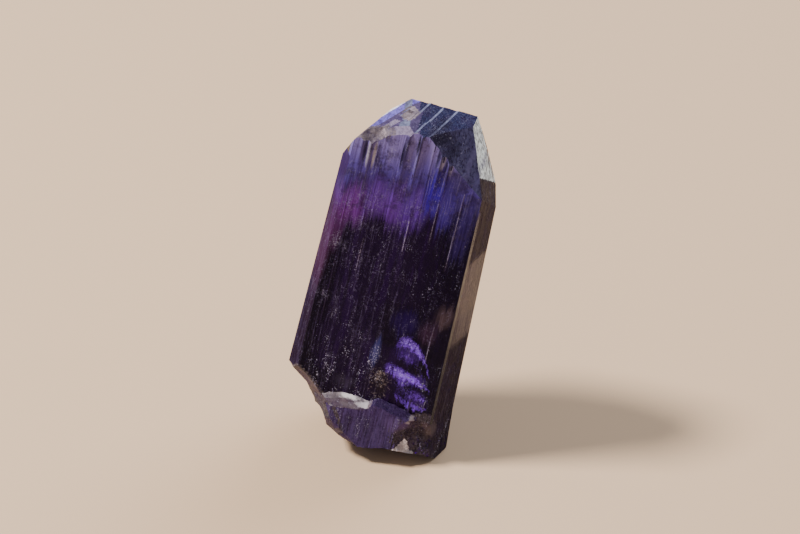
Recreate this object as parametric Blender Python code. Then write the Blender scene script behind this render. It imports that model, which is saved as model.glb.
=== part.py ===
"""A rough tanzanite crystal: one striated prism with a bevelled tip and a broken base.

The crystal leans, so it is designed upright in its own frame and leant at the end.  In that
frame, in millimetres, across runs along the width of the broad front face, deep runs from
the front face to the back, and along runs up the long axis.  Scene units are metres, +Z is
up, and the origin is on the plane the crystal rests on, in the middle of its bounding box.
"""

from math import cos, pi, radians, sin, tan

import bmesh
import bpy
import numpy as np
from mathutils import Vector

MM = 0.001

# How the crystal stands.
LEAN_RIGHT = radians(11.3)
LEAN_BACK = radians(2.3)
REST_BELOW_MIDDLE = 17.2           # from the middle of the crystal down to the resting plane
BOX_MIDDLE = (-0.14, -0.41)        # world x and y of the box's middle, from the crystal's middle

# The prism: width and depth where its edges lie at mid height, and how far each edge
# drifts across for each millimetre up.
FRONT = -4.2
BACK = 4.3
PRISM_EDGES = (
    # across, deep, drift
    (-6.05, FRONT, 0.022),
    (-7.00, -2.20, 0.030),
    (-7.05, 1.20, 0.030),
    (-4.90, BACK, 0.015),
    (3.10, BACK, -0.020),
    (7.79, -0.30, -0.047),
    (6.43, FRONT, -0.028),
)
PRISM_FROM = -20.0
PRISM_TO = 20.5
PRISM_LEVELS = 16

# The two right-hand edges flare out where the crystal was torn from its rock.
FLARE_STARTS = -11.5
FLARE_LENGTH = 4.2
FRONT_EDGE_FLARE = (0.75, 0.375)   # across and deep
SIDE_EDGE_FLARE = (0.20, -0.75)

# Striations: ribs that run up the prism faces.
RIB_PITCH = 0.42
RIB_DEPTH = 0.09
BACK_RIB_SCALE = 2.2               # the back, where ribs are coarser
RIB_WIDTHS = (0.5, 1.5)            # the narrowest and the widest, as shares of the pitch
LOW_RIB_SHARE = 0.25               # every second rib is this much shallower
RIB_START = (0.5, 1.0)             # how strong a rib is at the foot, and how far it may go
RIB_WANDER = 0.25                  # how far its strength changes from one level to the next
RIB_LIMITS = (0.1, 1.3)
RIB_SEED = 11
# Deep grooves that open towards the tip on the front face: across, depth, half width.
TIP_GROOVES = ((-5.05, 0.16, 0.17), (-4.30, 0.20, 0.16), (-1.30, 0.18, 0.12), (-0.22, 0.24, 0.10),
               (1.75, 0.20, 0.13), (2.55, 0.22, 0.13))
GROOVE_FADE = (11.5, 16.5)
GROOVE_DRIFT = 0.01                # a groove moves across by this share of the way up

# Corners of the tip's faces.
TIP_LEFT = (-5.4, FRONT, 16.0)
TIP_MIDDLE = (-0.95, FRONT, 17.8)
TIP_TOP = (0.0, FRONT, 18.0)
TIP_RIGHT = (6.1, FRONT, 13.3)
CREST_LEFT = (-1.9, -0.4, 18.95)
CREST_MIDDLE = (2.2, -0.35, 18.98)
CREST_RIGHT = (3.5, -0.3, 18.8)
DARK_FACE_LEFT = (0.5, FRONT, 17.85)
DARK_FACE_BACK = (3.8, -1.8, 18.45)
SIDE_FACE_EDGE = ((3.8, -1.8, 18.45), (5.2, -0.3, 16.45), (6.54, -0.3, 13.15), (7.3, -0.3, 10.65))
LEFT_BEVEL_EDGE = ((-5.1, -3.3, 16.45), (-3.88, -2.0, 17.85), (-2.2, -0.5, 18.8))
LEFT_BEVEL_LOW = (-7.2, 1.0, 12.0)
LEFT_CORNER = (-6.4, FRONT, 14.5)
LEFT_CORNER_NORMAL = (-0.87, 0.31, 0.49)
BACK_FACE_NORMAL = (0.0, 0.88, 0.47)
BACK_CORNER = (7.2, 0.6, 11.2)
BACK_CORNER_NORMAL = (0.75, 0.52, 0.40)
LEFT_FACE_NORMAL = (-0.36, -0.28, 0.89)
LEFT_FACE_RUN = (0.625, 0.603, 0.496)
CREST_RUN = (0.37, 0.93, 0.21)
BEVEL_SLOPE = radians(38)          # the narrow face between the front and the left tip face

# Growth steps on the two upper tip faces: where each step stands and how high it is.
CREST_STEPS = (-2.0, -0.8, 0.35)
CREST_STEP_HEIGHT = 0.13
LEFT_STEPS = (0.75, 1.5)
LEFT_STEP_HEIGHT = 0.10
STEP_SLOPE = 0.22                  # how far each riser leans
STAIR_REACH = 14.0                 # the stair cutters reach well past the tip

# The broken base.
BLOCK_FRONT = -5.0                 # a block of an earlier growth layer still stands proud
BLOCK_BACK = -3.0                  # its hidden end, inside the prism
# Across and along, once round: the broken ledge on top first, from left to right.
BLOCK_FRONT_OUTLINE = (
    (-2.36, -11.92), (-1.48, -11.82), (-0.57, -11.61), (0.20, -11.30), (0.91, -11.01),
    (1.48, -10.45), (2.36, -10.61), (3.26, -10.87), (4.17, -11.14), (5.12, -11.39),
    (5.48, -12.55), (5.41, -13.44), (5.60, -17.50), (0.95, -17.50),
    (0.88, -15.55), (-0.76, -14.25), (-1.40, -13.80), (-2.06, -13.28),
)
BLOCK_BACK_OUTLINE = (
    (-5.14, -10.37), (-4.31, -9.29), (-3.30, -8.91), (-1.03, -9.32), (0.84, -10.19),
    (1.78, -9.33), (2.71, -9.33), (3.61, -9.45), (4.75, -9.79), (5.82, -10.41),
    (6.53, -12.17), (6.90, -13.84), (6.60, -18.50), (0.10, -18.50),
    (0.18, -16.93), (-2.11, -17.25), (-3.33, -15.93), (-4.29, -14.83),
)

# Shell-shaped breaks: middle, radius, direction from which the blow came, ripple height.
# The rim of the left scoop broke off the prism alone, so it is cut before the block is joined.
RIM_BREAKS = {
    "left_scoop_rim": ((-11.7, -16.4, -18.2), 16.2, (-0.4, -0.8, 0.5), 0.03),
}
BREAKS = {
    "left_scoop": ((-11.7, -7.16, -18.2), 10.36, (-0.5, 0.2, 1.0), 0.05),
    "left_lower": ((-4.9, -4.6, -23.5), 9.00, (0.3, -1.0, 0.2), 0.04),
    "front_undercut": ((6.8, -14.8, -32.3), 20.2, (1.0, -0.4, 0.3), 0.06),
    "back_undercut": ((1.5, 13.5, -22.0), 11.2, (-0.6, 0.6, 0.3), 0.06),
    "back_left_scoop": ((-13.0, 6.0, -19.0), 11.35, (-0.3, 1.0, 0.6), 0.06),
    "back_shell": ((1.2, 10.6, -5.0), 6.7, (0.4, 0.3, 1.0), 0.03),
    "right_corner": ((11.2, 1.4, -18.6), 3.9, (1.0, 0.2, 0.2), 0.03),
    "block_chip": ((6.6, -6.9, -14.2), 2.75, (0.3, -1.0, 0.4), 0.02),
    "corner_pocket": ((6.6, -7.2, -13.0), 3.50, (0.6, -1.0, 0.2), 0.03),
    "tip_chip_left": ((-4.6, -5.4, 17.8), 2.15, (-0.5, -0.5, 1.0), 0.03),
    "tip_chip_middle": ((-1.9, -2.2, 19.1), 0.85, (0.0, -0.5, 1.0), 0.02),
}
REST_CUBE = 0.08                   # metres: the cube whose top is the resting plane
BREAK_RINGS = 26
BREAK_SIDES = 42
RIPPLE_TURNS = 2.1                 # how fast the ripples follow each other, in radians per mm
RAYS = 5.0                         # low rays that run out from the blow
RAY_TWIST = 3.0
RAY_SHARE = 0.8                    # how high the rays stand, as a share of the ripples
ASLANT = (0.31, 0.83, 0.46)        # any direction off the poles, to count the rays from

CRYSTAL_COLOUR = (0.045, 0.018, 0.14)
CRYSTAL_ROUGHNESS = 0.08
CRYSTAL_IOR = 1.69
CRYSTAL_CLEARNESS = 0.5


def unit(vector):
    vector = np.asarray(vector, float)
    return vector / np.linalg.norm(vector)


def crystal_axes():
    """Columns: the crystal's across, deep and along directions in world space."""
    along = unit((tan(LEAN_RIGHT), tan(LEAN_BACK), 1.0))
    across = np.array((1.0, 0.0, 0.0))
    across = unit(across - across.dot(along) * along)
    return np.stack((across, np.cross(along, across), along), axis=1)


def to_world(points):
    """Crystal millimetres to world metres."""
    place = np.array((-BOX_MIDDLE[0], -BOX_MIDDLE[1], REST_BELOW_MIDDLE))
    return (np.asarray(points, float) @ crystal_axes().T + place) * MM


def add_object(name, points, faces, cutter=False):
    mesh = bpy.data.meshes.new(name)
    mesh.from_pydata(to_world(points).tolist(), [], faces)
    mesh.validate()
    obj = bpy.data.objects.new(name, mesh)
    bpy.context.scene.collection.objects.link(obj)
    if cutter:
        obj.hide_render = True
        obj.display_type = "WIRE"
    return obj


def grid_faces(rows, columns):
    """Quads of a tube of rows rings, each of columns points."""
    faces = []
    for row in range(rows - 1):
        for column in range(columns):
            after = (column + 1) % columns
            faces.append((row * columns + column, row * columns + after,
                          (row + 1) * columns + after, (row + 1) * columns + column))
    return faces


def fade(value, start, end):
    """0 before start, 1 after end, smooth between."""
    share = np.clip((value - start) / (end - start), 0.0, 1.0)
    return share * share * (3.0 - 2.0 * share)


def prism_corners(level):
    """The prism's corners at one height, with the flare at the foot."""
    corners = np.array([(across + drift * level, deep) for across, deep, drift in PRISM_EDGES])
    flare = np.clip((FLARE_STARTS - level) / FLARE_LENGTH, 0.0, 1.0)
    corners[-1] += flare * np.array(FRONT_EDGE_FLARE)
    corners[-2] += flare * np.array(SIDE_EDGE_FLARE)
    return corners


def rib_layout(rng):
    """For each prism face, where its ribs lie from corner to corner, and how deep each cuts."""
    layout = []
    corners = prism_corners(0.0)
    for start, end in zip(corners, np.roll(corners, -1, axis=0)):
        count = max(4, round(np.linalg.norm(end - start) / RIB_PITCH))
        steps = rng.uniform(*RIB_WIDTHS, count)
        shares = np.concatenate(((0.0,), np.cumsum(steps) / steps.sum()))[:-1]
        depths = rng.uniform(0.0, 1.0, count) ** 2 * RIB_DEPTH
        depths[1::2] *= LOW_RIB_SHARE
        depths[0] = 0.0
        layout.append((shares, depths))
    return layout


def prism_ring(level, layout, strength):
    """One cross-section: corners joined by faces with ribs cut into them."""
    corners = prism_corners(level)
    ring = []
    ribs = 0
    for index, (shares, depths) in enumerate(layout):
        start = corners[index]
        run = corners[(index + 1) % len(corners)] - start
        inward = unit((-run[1], run[0]))
        cut = depths * strength[ribs:ribs + len(depths)]
        if start[1] > 0.0:
            cut = cut * BACK_RIB_SCALE
        ribs += len(depths)
        across = start[0] + run[0] * shares
        if index == len(corners) - 1:
            for place, depth, half in TIP_GROOVES:
                bell = np.exp(-((across - place - GROOVE_DRIFT * level) / half) ** 2)
                cut = cut + depth * bell * fade(level, *GROOVE_FADE) * (shares > 0)
        points = start + np.outer(shares, run) + np.outer(cut, inward)
        ring.append(np.column_stack((points, np.full(len(points), level))))
    return np.concatenate(ring)


def make_prism():
    """The ribbed prism, longer than the crystal at both ends."""
    rng = np.random.default_rng(RIB_SEED)
    layout = rib_layout(rng)
    ribs = sum(len(depths) for _, depths in layout)
    levels = np.linspace(PRISM_FROM, PRISM_TO, PRISM_LEVELS)
    rings = []
    strength = rng.uniform(*RIB_START, ribs)
    for level in levels:
        change = rng.uniform(-RIB_WANDER, RIB_WANDER, ribs)
        strength = np.clip(strength + change, *RIB_LIMITS)
        rings.append(prism_ring(level, layout, strength))
    columns = len(rings[0])
    faces = grid_faces(len(rings), columns)
    faces.append(tuple(range(columns))[::-1])
    faces.append(tuple(range((len(rings) - 1) * columns, len(rings) * columns)))
    return face_outward(add_object("tanzanite_crystal", np.concatenate(rings), faces))


def plane_through(a, b, c):
    """A point of the plane and its normal, turned away from the crystal's middle."""
    a, b, c = (np.array(point, float) for point in (a, b, c))
    normal = unit(np.cross(b - a, c - a))
    return a, normal if normal.dot(a) > 0 else -normal


def tip_planes():
    """The plain faces of the tip: bevel, dark right face, side face, then left, corner and back."""
    rise = unit(np.subtract(TIP_MIDDLE, TIP_LEFT))
    upward = np.array((-rise[2], 0.0, rise[0]))
    bevel = upward * cos(BEVEL_SLOPE) + np.array((0.0, -sin(BEVEL_SLOPE), 0.0))
    sides = [plane_through(*ends, TIP_RIGHT) for ends in zip(SIDE_FACE_EDGE, SIDE_FACE_EDGE[1:])]
    lefts = [plane_through(*ends, LEFT_BEVEL_LOW) for ends in zip(LEFT_BEVEL_EDGE, LEFT_BEVEL_EDGE[1:])]
    return (
        (np.array(TIP_MIDDLE), bevel),
        plane_through(DARK_FACE_LEFT, TIP_RIGHT, DARK_FACE_BACK),
        *sides,
        *lefts,
        (np.array(LEFT_CORNER), unit(LEFT_CORNER_NORMAL)),
        (np.array(CREST_RIGHT), unit(BACK_FACE_NORMAL)),
        (np.array(BACK_CORNER), unit(BACK_CORNER_NORMAL)),
    )


def cut_flat(obj, planes):
    """Takes away what lies beyond each plane and closes the cut with one flat face."""
    shape = bmesh.new()
    shape.from_mesh(obj.data)
    for point, normal in planes:
        direction = Vector(crystal_axes() @ normal)
        parts = shape.verts[:] + shape.edges[:] + shape.faces[:]
        cut = bmesh.ops.bisect_plane(shape, geom=parts, dist=1e-7, clear_outer=True,
                                     plane_co=Vector(to_world(point)), plane_no=direction)
        rim = [part for part in cut["geom_cut"] if isinstance(part, bmesh.types.BMEdge)]
        bmesh.ops.holes_fill(shape, edges=rim, sides=0)
    bmesh.ops.recalc_face_normals(shape, faces=shape.faces)
    shape.to_mesh(obj.data)
    shape.free()


def stair_cutter(name, point, normal, run, steps, height):
    """A block whose underside is a stair: treads across the face, risers along run."""
    normal = unit(normal)
    run = unit(np.asarray(run, float) - np.dot(run, normal) * normal)
    side = np.cross(run, normal)
    profile = [(-STAIR_REACH, 0.0)]
    for place in steps:
        profile += [(place, -height), (place + STEP_SLOPE, 0.0)]
    profile += [(STAIR_REACH, 0.0), (STAIR_REACH, STAIR_REACH), (-STAIR_REACH, STAIR_REACH)]
    ends = []
    for end in (-STAIR_REACH, STAIR_REACH):
        ends += [np.asarray(point) + run * end + side * a + normal * b for a, b in profile]
    count = len(profile)
    faces = grid_faces(2, count) + [tuple(range(count))[::-1], tuple(range(count, 2 * count))]
    return face_outward(add_object(name, np.array(ends), faces, cutter=True))


def make_break_cutter(name, middle, radius, blow, ripple):
    """A ball with its pole at the blow and ripples round the pole, which leaves a shell."""
    pole = unit(blow)
    side = unit(np.cross(pole, ASLANT))
    rings = np.linspace(0.0, pi, BREAK_RINGS + 1)[1:-1]
    turns = np.linspace(0.0, 2.0 * pi, BREAK_SIDES, endpoint=False)
    ring, turn = np.meshgrid(rings, turns, indexing="ij")
    ripples = np.sin(ring * radius * RIPPLE_TURNS)
    rays = RAY_SHARE * np.sin(RAYS * turn + RAY_TWIST * ring)
    distance = radius + ripple * (ripples + rays) * np.sin(ring)
    around = np.cos(turn)[..., None] * side + np.sin(turn)[..., None] * np.cross(pole, side)
    points = np.sin(ring)[..., None] * around + np.cos(ring)[..., None] * pole
    points = (points * distance[..., None]).reshape(-1, 3) + middle
    count = len(points)
    tips = np.array((pole * radius, -pole * radius)) + middle
    faces = grid_faces(len(rings), BREAK_SIDES)
    last = count - BREAK_SIDES
    for column in range(BREAK_SIDES):
        after = (column + 1) % BREAK_SIDES
        faces.append((after, column, count))
        faces.append((last + column, last + after, count + 1))
    return face_outward(add_object(name, np.vstack((points, tips)), faces, cutter=True))


def face_outward(obj):
    """Splits the faces into triangles, which are always flat, and turns them all outward."""
    shape = bmesh.new()
    shape.from_mesh(obj.data)
    bmesh.ops.triangulate(shape, faces=shape.faces)
    bmesh.ops.recalc_face_normals(shape, faces=shape.faces)
    shape.to_mesh(obj.data)
    shape.free()
    return obj


def make_block():
    """The block of an earlier growth layer, broken off above as a slanting ledge."""
    points = [(a, BLOCK_FRONT, b) for a, b in BLOCK_FRONT_OUTLINE]
    points += [(a, BLOCK_BACK, b) for a, b in BLOCK_BACK_OUTLINE]
    count = len(BLOCK_FRONT_OUTLINE)
    faces = grid_faces(2, count) + [tuple(range(count))[::-1], tuple(range(count, 2 * count))]
    return face_outward(add_object("earlier_growth_block", np.array(points), faces, cutter=True))


def make_rest_cutter():
    """Everything below the plane the crystal rests on."""
    bpy.ops.mesh.primitive_cube_add(size=REST_CUBE, location=(0.0, 0.0, -REST_CUBE / 2.0))
    cutter = bpy.context.active_object
    cutter.name = "rest_plane_cutter"
    cutter.hide_render = True
    cutter.display_type = "WIRE"
    return cutter


def combine(body, other, operation):
    modifier = body.modifiers.new(other.name, "BOOLEAN")
    modifier.operation = operation
    modifier.solver = "EXACT"
    modifier.object = other


def crystal_material():
    material = bpy.data.materials.new("violet_blue_crystal")
    material.use_nodes = True
    shader = material.node_tree.nodes["Principled BSDF"]
    shader.inputs["Base Color"].default_value = (*CRYSTAL_COLOUR, 1.0)
    shader.inputs["Roughness"].default_value = CRYSTAL_ROUGHNESS
    shader.inputs["Metallic"].default_value = 0.0
    shader.inputs["IOR"].default_value = CRYSTAL_IOR
    shader.inputs["Transmission Weight"].default_value = CRYSTAL_CLEARNESS
    return material


def main():
    for old in list(bpy.data.objects):
        bpy.data.objects.remove(old, do_unlink=True)
    body = make_prism()
    cut_flat(body, tip_planes())
    body.data.materials.append(crystal_material())
    for name, facts in RIM_BREAKS.items():
        combine(body, make_break_cutter(name, *facts), "DIFFERENCE")
    combine(body, make_block(), "UNION")
    point, normal = plane_through(TIP_TOP, CREST_LEFT, CREST_MIDDLE)
    combine(body, stair_cutter("crest_stair", point, normal, CREST_RUN, CREST_STEPS,
                               CREST_STEP_HEIGHT), "DIFFERENCE")
    combine(body, stair_cutter("left_stair", CREST_LEFT, LEFT_FACE_NORMAL, LEFT_FACE_RUN,
                               LEFT_STEPS, LEFT_STEP_HEIGHT), "DIFFERENCE")
    for name, facts in BREAKS.items():
        combine(body, make_break_cutter(name, *facts), "DIFFERENCE")
    combine(body, make_rest_cutter(), "DIFFERENCE")


main()
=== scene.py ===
"""A rough tanzanite crystal: fine growth striations, a stepped tip, a shell-broken base.

The crystal is shaped upright in its own frame and leant at the end.  In that frame, in
millimetres, across runs along the width of the broad front face, deep runs from the front
face to the back, and along runs up the long axis.  The frame's CAD solid has the same prism,
tip faces, growth steps, block and breaks.  Here they get their fine relief.
"""

from math import cos, pi, radians, sin, tan

import bmesh
import bpy
import numpy as np
from mathutils import Matrix, Vector


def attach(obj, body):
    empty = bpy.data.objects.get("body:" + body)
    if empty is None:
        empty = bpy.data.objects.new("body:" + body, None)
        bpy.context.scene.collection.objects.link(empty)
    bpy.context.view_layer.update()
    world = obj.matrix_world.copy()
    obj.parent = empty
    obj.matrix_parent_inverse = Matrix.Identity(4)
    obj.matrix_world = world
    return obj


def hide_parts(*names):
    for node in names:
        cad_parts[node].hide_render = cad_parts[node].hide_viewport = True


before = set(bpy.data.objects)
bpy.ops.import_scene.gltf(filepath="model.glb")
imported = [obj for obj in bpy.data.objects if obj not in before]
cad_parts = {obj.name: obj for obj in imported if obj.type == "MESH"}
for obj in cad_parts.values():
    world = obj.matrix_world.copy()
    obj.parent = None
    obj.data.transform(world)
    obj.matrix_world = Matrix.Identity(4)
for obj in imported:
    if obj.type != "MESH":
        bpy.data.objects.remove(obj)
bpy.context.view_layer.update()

MM = 0.001

# How the crystal stands.
LEAN_RIGHT = radians(11.3)
LEAN_BACK = radians(2.3)
REST_BELOW_MIDDLE = 17.2
BOX_MIDDLE = (-0.14, -0.41)
PLACE = np.array((-BOX_MIDDLE[0], -BOX_MIDDLE[1], REST_BELOW_MIDDLE))

# The prism's edges at mid height: across, deep, and drift across for each millimetre up.
FRONT = -4.2
BACK = 4.3
PRISM_EDGES = (
    (-6.05, FRONT, 0.022),
    (-7.00, -2.20, 0.030),
    (-7.05, 1.20, 0.030),
    (-4.90, BACK, 0.015),
    (3.10, BACK, -0.020),
    (7.79, -0.30, -0.047),
    (6.43, FRONT, -0.028),
)
# For the prism face that starts at each edge: column spacing and how coarse its ribs are.
FACE_GRAIN = ((0.10, 1.0), (0.16, 1.0), (0.20, 1.6), (0.20, 2.2), (0.20, 1.8), (0.09, 0.8),
              (0.075, 1.0))
PRISM_FROM = -20.0
PRISM_TO = 20.5
PRISM_LEVELS = 150
FLARE_STARTS = -11.5
FLARE_LENGTH = 4.2
FRONT_EDGE_FLARE = (0.75, 0.375)
SIDE_EDGE_FLARE = (0.20, -0.75)

# Striations: spacing across a face, depth and half width of each, and how long they run.
FINE_RIBS = dict(spacing=0.17, depth=(0.006, 0.034), half=(0.06, 0.16), length=(4.0, 26.0))
BROAD_RIBS = dict(spacing=0.75, depth=(0.02, 0.075), half=(0.20, 0.55), length=(10.0, 40.0))
RIB_MIDDLES = (-18.0, 19.0)
RIB_LEAN = 0.0025
RIB_SEED = 11
# Striations and grooves fade out this near a prism edge, and all the prism has this grain.
EDGE_FADE = 0.12
PRISM_GRAIN = 0.006
# Deep grooves that open towards the tip on the front face: across, depth, half width.
TIP_GROOVES = ((-5.05, 0.16, 0.17), (-4.30, 0.20, 0.16), (-1.30, 0.18, 0.12), (-0.22, 0.24, 0.10),
               (1.75, 0.20, 0.13), (2.55, 0.22, 0.13))
GROOVE_FADE = (11.5, 16.5)
GROOVE_LEAN = 0.01
# Single long scores in the front face: across, from, to.
SCORES = ((4.52, 5.5, 13.2), (-3.04, 3.1, 6.1), (2.59, 8.0, 11.7), (4.9, -4.6, -1.0), (0.5, 6.3, 9.2))
SCORE_DEPTH = 0.05
SCORE_HALF = 0.06
SCORE_FADE = 0.4

# Corners of the tip's faces.
TIP_LEFT = (-5.4, FRONT, 16.0)
TIP_MIDDLE = (-0.95, FRONT, 17.8)
TIP_TOP = (0.0, FRONT, 18.0)
TIP_RIGHT = (6.1, FRONT, 13.3)
CREST_LEFT = (-1.9, -0.4, 18.95)
CREST_MIDDLE = (2.2, -0.35, 18.98)
CREST_RIGHT = (3.5, -0.3, 18.8)
DARK_FACE_LEFT = (0.5, FRONT, 17.85)
DARK_FACE_BACK = (3.8, -1.8, 18.45)
SIDE_FACE_EDGE = ((3.8, -1.8, 18.45), (5.2, -0.3, 16.45), (6.54, -0.3, 13.15), (7.3, -0.3, 10.65))
LEFT_BEVEL_EDGE = ((-5.1, -3.3, 16.45), (-3.88, -2.0, 17.85), (-2.2, -0.5, 18.8))
LEFT_BEVEL_LOW = (-7.2, 1.0, 12.0)
LEFT_CORNER = (-6.4, FRONT, 14.5)
LEFT_CORNER_NORMAL = (-0.87, 0.31, 0.49)
BACK_FACE_NORMAL = (0.0, 0.88, 0.47)
BACK_CORNER = (7.2, 0.6, 11.2)
BACK_CORNER_NORMAL = (0.75, 0.52, 0.40)
LEFT_FACE_NORMAL = (-0.36, -0.28, 0.89)
LEFT_FACE_RUN = (0.625, 0.603, 0.496)
CREST_RUN = (0.37, 0.93, 0.21)
BEVEL_SLOPE = radians(38)
CREST_STEPS = (-2.0, -0.8, 0.35)
CREST_STEP_HEIGHT = 0.13
LEFT_STEPS = (0.75, 1.5)
LEFT_STEP_HEIGHT = 0.10
STEP_SLOPE = 0.22
STEP_WANDER = 0.05

# The block of an earlier growth layer that stands proud of the broken base.
BLOCK_FRONT = -5.0
BLOCK_BACK = -3.0
BLOCK_MIDDLE = (1.8, 0.0, -13.5)
BLOCK_ROWS = 24
BLOCK_PARTS = 10
BLOCK_FRONT_OUTLINE = (
    (-2.36, -11.92), (-1.48, -11.82), (-0.57, -11.61), (0.20, -11.30), (0.91, -11.01),
    (1.48, -10.45), (2.36, -10.61), (3.26, -10.87), (4.17, -11.14), (5.12, -11.39),
    (5.48, -12.55), (5.41, -13.44), (5.60, -17.50), (0.95, -17.50),
    (0.88, -15.55), (-0.76, -14.25), (-1.40, -13.80), (-2.06, -13.28),
)
BLOCK_BACK_OUTLINE = (
    (-5.14, -10.37), (-4.31, -9.29), (-3.30, -8.91), (-1.03, -9.32), (0.84, -10.19),
    (1.78, -9.33), (2.71, -9.33), (3.61, -9.45), (4.75, -9.79), (5.82, -10.41),
    (6.53, -12.17), (6.90, -13.84), (6.60, -18.50), (0.10, -18.50),
    (0.18, -16.93), (-2.11, -17.25), (-3.33, -15.93), (-4.29, -14.83),
)

# Shell-shaped breaks: middle, radius, direction from which the blow came, ripple, hackle, and
# the width of the flat facets that the break is split into (0 for a smooth shell).
# The rim of the left scoop broke off the prism alone, before the block's own breaks.
RIM_BREAKS = {
    "left_scoop_rim": ((-11.7, -16.4, -18.2), 16.2, (-0.4, -0.8, 0.5), 0.03, 0.02, 0.0),
}
BREAKS = {
    "left_scoop": ((-11.7, -7.16, -18.2), 10.36, (-0.5, 0.2, 1.0), 0.05, 0.02, 1.1),
    "left_lower": ((-4.9, -4.6, -23.5), 9.00, (0.3, -1.0, 0.2), 0.04, 0.03, 1.2),
    "front_undercut": ((6.8, -14.8, -32.3), 20.2, (1.0, -0.4, 0.3), 0.06, 0.03, 0.0),
    "back_undercut": ((1.5, 13.5, -22.0), 11.2, (-0.6, 0.6, 0.3), 0.06, 0.03, 0.0),
    "back_left_scoop": ((-13.0, 6.0, -19.0), 11.35, (-0.3, 1.0, 0.6), 0.06, 0.02, 0.0),
    "back_shell": ((1.2, 10.6, -5.0), 6.7, (0.4, 0.3, 1.0), 0.03, 0.01, 0.0),
    "right_corner": ((11.2, 1.4, -18.6), 3.9, (1.0, 0.2, 0.2), 0.03, 0.04, 0.9),
    "block_chip": ((6.6, -6.9, -14.2), 2.75, (0.3, -1.0, 0.4), 0.02, 0.05, 0.9),
    "corner_pocket": ((6.6, -7.2, -13.0), 3.50, (0.6, -1.0, 0.2), 0.03, 0.07, 0.8),
    "tip_chip_left": ((-4.6, -5.4, 17.8), 2.15, (-0.5, -0.5, 1.0), 0.03, 0.05, 0.7),
    "tip_chip_middle": ((-1.9, -2.2, 19.1), 0.85, (0.0, -0.5, 1.0), 0.02, 0.04, 0.4),
}
BREAK_SPACING = 0.15
BREAK_REACH = 9.0
BREAK_FACES = (-15.0, 17.0)         # breaks look at the axis between these
FACET_SEED = 3
ASIDE = (0.31, 0.83, 0.46)         # parallel to no break's direction


def unit(vector):
    vector = np.asarray(vector, float)
    return vector / np.linalg.norm(vector)


def crystal_axes():
    """Columns: the crystal's across, deep and along directions in world space."""
    along = unit((tan(LEAN_RIGHT), tan(LEAN_BACK), 1.0))
    across = np.array((1.0, 0.0, 0.0))
    across = unit(across - across.dot(along) * along)
    return np.stack((across, np.cross(along, across), along), axis=1)


AXES = crystal_axes()


def to_world(points):
    """Crystal millimetres to world metres."""
    return (np.asarray(points, float) @ AXES.T + PLACE) * MM


def to_crystal(points):
    """World metres to crystal millimetres."""
    return (np.asarray(points, float) / MM - PLACE) @ AXES


def fade(value, start, end):
    """0 before start, 1 after end, smooth between."""
    share = np.clip((value - start) / (end - start), 0.0, 1.0)
    return share * share * (3.0 - 2.0 * share)


LATTICE = np.random.default_rng(5).uniform(-1.0, 1.0, 4096)
LATTICE_STEPS = (73856093, 19349663, 83492791)   # large primes, so that no pattern repeats


def grain(points, size):
    """Smooth random heights from -1 to 1: random values at the corners of cubes of that
    size, blended in between."""
    cell = np.asarray(points, float) / size
    low = np.floor(cell).astype(np.int64)
    share = cell - low
    share = share * share * (3.0 - 2.0 * share)
    total = np.zeros(cell.shape[:-1])
    for corner in np.ndindex(2, 2, 2):
        key = low + corner
        pick = np.bitwise_xor.reduce(key * LATTICE_STEPS, axis=-1) % len(LATTICE)
        total += LATTICE[pick] * np.where(corner, share, 1.0 - share).prod(axis=-1)
    return total


def rough(points, size):
    """Grain at three sizes, each half as large and half as high as the one before."""
    return grain(points, size) + 0.5 * grain(points, size / 2) + 0.25 * grain(points, size / 4)


def put_mesh(name, points, faces, cutter=False):
    """A mesh object from crystal millimetres, with its faces turned outward."""
    mesh = bpy.data.meshes.new(name)
    mesh.from_pydata(to_world(points).tolist(), [], faces)
    shape = bmesh.new()
    shape.from_mesh(mesh)
    bmesh.ops.recalc_face_normals(shape, faces=shape.faces)
    shape.to_mesh(mesh)
    shape.free()
    obj = bpy.data.objects.new(name, mesh)
    bpy.context.scene.collection.objects.link(obj)
    obj.hide_render = cutter
    return obj


def ring_quads(rows, columns):
    """Quads that join each ring of columns points to the next."""
    row, column = np.meshgrid(np.arange(rows - 1), np.arange(columns), indexing="ij")
    after = (column + 1) % columns
    quads = np.stack((row * columns + column, row * columns + after,
                      (row + 1) * columns + after, (row + 1) * columns + column), axis=-1)
    return quads.reshape(-1, 4).tolist()


def tube(name, rings, cutter=True):
    """Closed tube of rings, rows x columns x 3, with one flat face over each end."""
    rows, columns = rings.shape[:2]
    faces = ring_quads(rows, columns)
    faces.append(list(range(columns))[::-1])
    faces.append(list(range((rows - 1) * columns, rows * columns)))
    return put_mesh(name, rings.reshape(-1, 3), faces, cutter)


def pointed_tube(name, rings, first, last, cutter=True):
    """Closed tube of rings whose two ends run together in a point."""
    rows, columns = rings.shape[:2]
    here = np.arange(columns)
    after = (here + 1) % columns
    count = rows * columns
    end = count - columns
    faces = ring_quads(rows, columns)
    faces += np.stack((after, here, np.full(columns, count)), axis=1).tolist()
    faces += np.stack((end + here, end + after, np.full(columns, count + 1)), axis=1).tolist()
    return put_mesh(name, np.vstack((rings.reshape(-1, 3), first, last)), faces, cutter)


def combine(body, other, operation="DIFFERENCE"):
    modifier = body.modifiers.new(other.name, "BOOLEAN")
    modifier.operation = operation
    modifier.solver = "MANIFOLD"
    modifier.object = other


def prism_corners(levels):
    """The prism's corners at each level, levels x corners x 2, with the flare at the foot."""
    edges = np.array(PRISM_EDGES)
    across = edges[:, 0] + np.outer(levels, edges[:, 2])
    corners = np.stack((across, np.broadcast_to(edges[:, 1], across.shape)), axis=-1)
    flare = np.clip((FLARE_STARTS - levels) / FLARE_LENGTH, 0.0, 1.0)[:, None]
    corners[:, -1] += flare * FRONT_EDGE_FLARE
    corners[:, -2] += flare * SIDE_EDGE_FLARE
    return corners


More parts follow.
